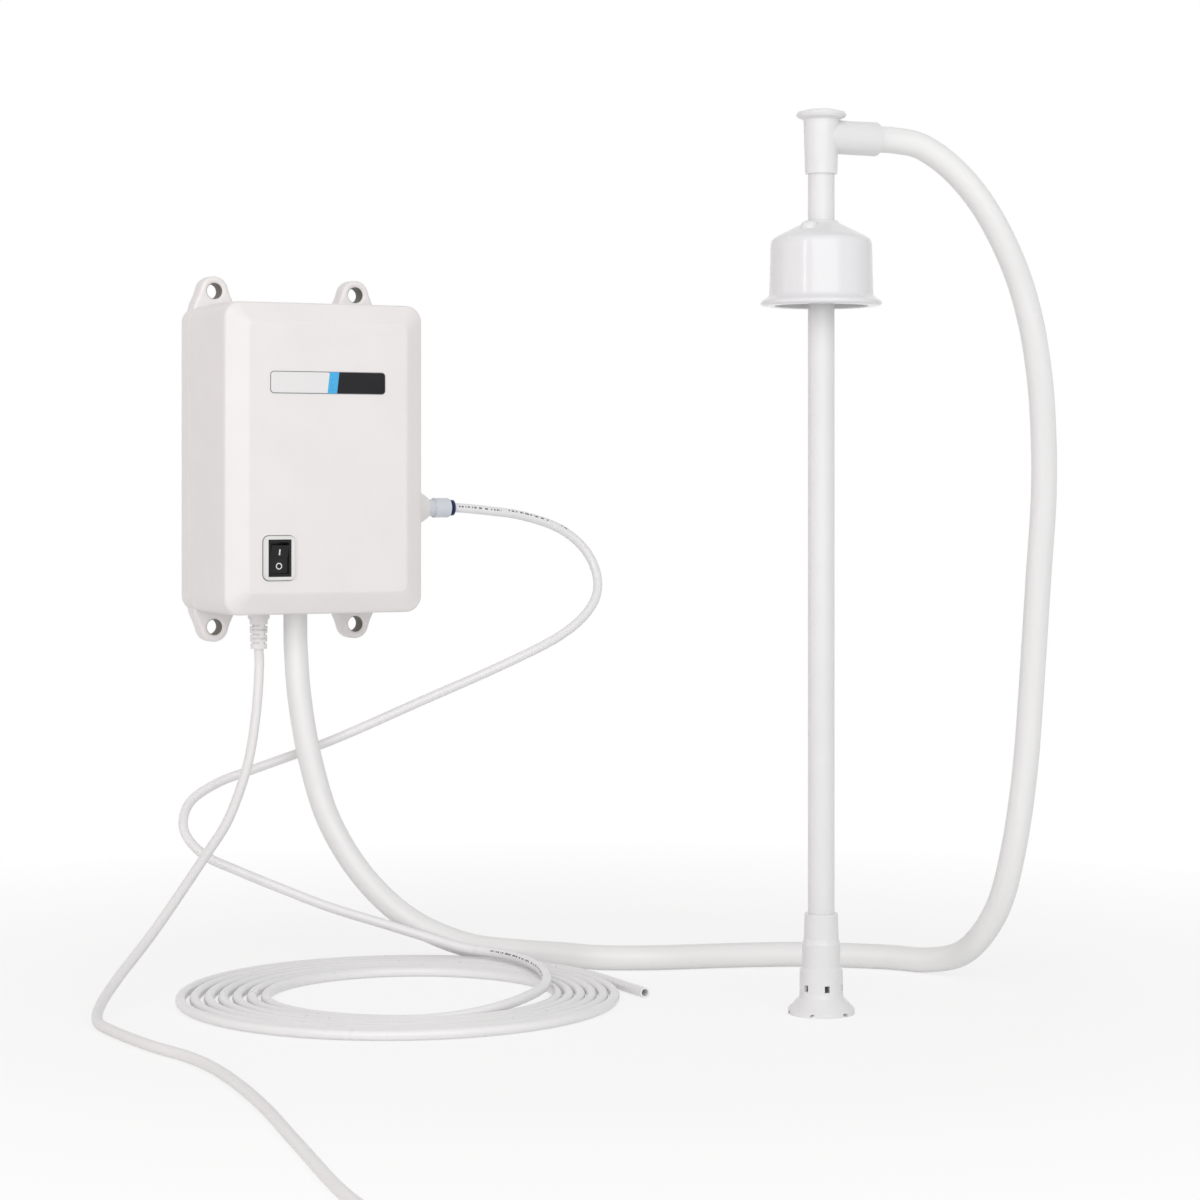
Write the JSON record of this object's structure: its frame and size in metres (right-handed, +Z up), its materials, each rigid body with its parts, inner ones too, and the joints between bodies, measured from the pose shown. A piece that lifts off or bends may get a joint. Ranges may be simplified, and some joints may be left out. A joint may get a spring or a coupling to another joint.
{
  "type": "bottled water pump",
  "caption": "Wall-mounted electric pump box with rocker switch, suction hose to a bottle wand with sliding neck cap, thin outlet tube coiled on the floor, and mains cord",
  "frame": {"origin": "The middle of the wall screw holes, on the plane of the wall.", "axes": "+X is right seen from the front, +Y points into the wall, +Z is up. The front panel faces -Y."},
  "size_m": [0.6159, 0.8836, 0.5422],
  "materials": {
    "shell_white": "satin moulded plastic",
    "seal_grey": "soft seal",
    "steel": "plain steel",
    "switch_white": "glossy",
    "switch_black": "semi-gloss",
    "black_plastic": "matte",
    "brass_strip": "stamped",
    "copper": "bare and varnished copper",
    "fitting_white": "glossy",
    "black_rubber": "matte",
    "valve_rubber": "matte",
    "navy_plastic": "glossy",
    "cord_white": "satin",
    "zinc_steel": "zinc plated",
    "ferrite": "sintered",
    "carbon": "carbon block",
    "pale_plastic": "moulded",
    "board_green": "lacquered board",
    "core_yellow": "taped core",
    "capacitor_blue": "sleeved",
    "terminal_green": "moulded",
    "hose_white": "satin",
    "tube_white": "semi-gloss",
    "wand_white": "glossy",
    "ball_red": "glossy",
    "tie_black": "moulded strap",
    "plated": "nickel plated"
  },
  "bodies": {
    "pump_unit": {"rear_housing": "shell_white", "front_cover": "shell_white", "cover_gasket": "seal_grey", "cover_screws": "steel", "switch_frame": "switch_white", "switch_body": "switch_black", "switch_terminals": "brass_strip", "outlet_fitting": "fitting_white", "outlet_o_ring": "black_rubber", "outlet_nut": "fitting_white", "link_tube": "tube_white", "cord_relief": "cord_white", "motor_can": "zinc_steel", "motor_end_bell": "black_plastic", "motor_magnets": "ferrite", "motor_brushes": "carbon", "bearing_upper": "steel", "bearing_lower": "steel", "drive_housing": "black_plastic", "wobble_plate": "pale_plastic", "diaphragm": "black_rubber", "valve_plate": "pale_plastic", "valve_discs": "valve_rubber", "pump_head": "black_plastic", "pump_screws": "steel", "pressure_switch": "black_plastic", "pump_bracket": "zinc_steel", "rubber_feet": "black_rubber", "bracket_screws": "steel", "power_board": "board_green", "transformer": "core_yellow", "capacitor": "capacitor_blue", "terminal_block": "terminal_green", "hose_end": "hose_white", "wand_tube": "wand_white", "wand_head": "wand_white", "head_plug": "wand_white", "wand_foot": "wand_white", "valve_body": "wand_white", "suction_hose": "hose_white", "outlet_tube": "tube_white", "outlet_coil": "tube_white", "outlet_tube_end": "tube_white", "power_cord": "cord_white", "cord_coil": "cord_white", "cord_lead": "cord_white", "cord_tie": "tie_black", "plug_body": "cord_white", "plug_pins": "plated"},
    "rocker": {"switch_rocker": "switch_black"},
    "collet": {"outlet_collet": "navy_plastic"},
    "cap": {"bottle_cap": "wand_white", "cap_grommet": "black_rubber", "cap_seal": "seal_grey"},
    "ball": {"check_ball": "ball_red"},
    "rotor": {"motor_shaft": "steel", "armature": "steel", "windings": "copper", "commutator": "copper", "drive_cam": "steel"}
  },
  "joints": [
    {"name": "rocker_tilt", "type": "hinge", "parent": "pump_unit", "child": "rocker", "pos_m": [-0.035, -0.088, -0.065], "axis": [1, 0, 0], "range_deg": [-16, 0]},
    {"name": "collet_press", "type": "slide", "parent": "pump_unit", "child": "collet", "axis": [-1, 0, 0], "range_m": [0, 0.0012]},
    {"name": "cap_slide", "type": "slide", "parent": "pump_unit", "child": "cap", "axis": [0, 0, 1], "range_m": [-0.15, 0.025]},
    {"name": "ball_lift", "type": "slide", "parent": "pump_unit", "child": "ball", "axis": [0, 0, 1], "range_m": [0, 0.006]},
    {"name": "rotor_spin", "type": "hinge", "parent": "pump_unit", "child": "rotor", "pos_m": [0.018, -0.048, 0], "axis": [0, 0, 1], "continuous": true}
  ]
}
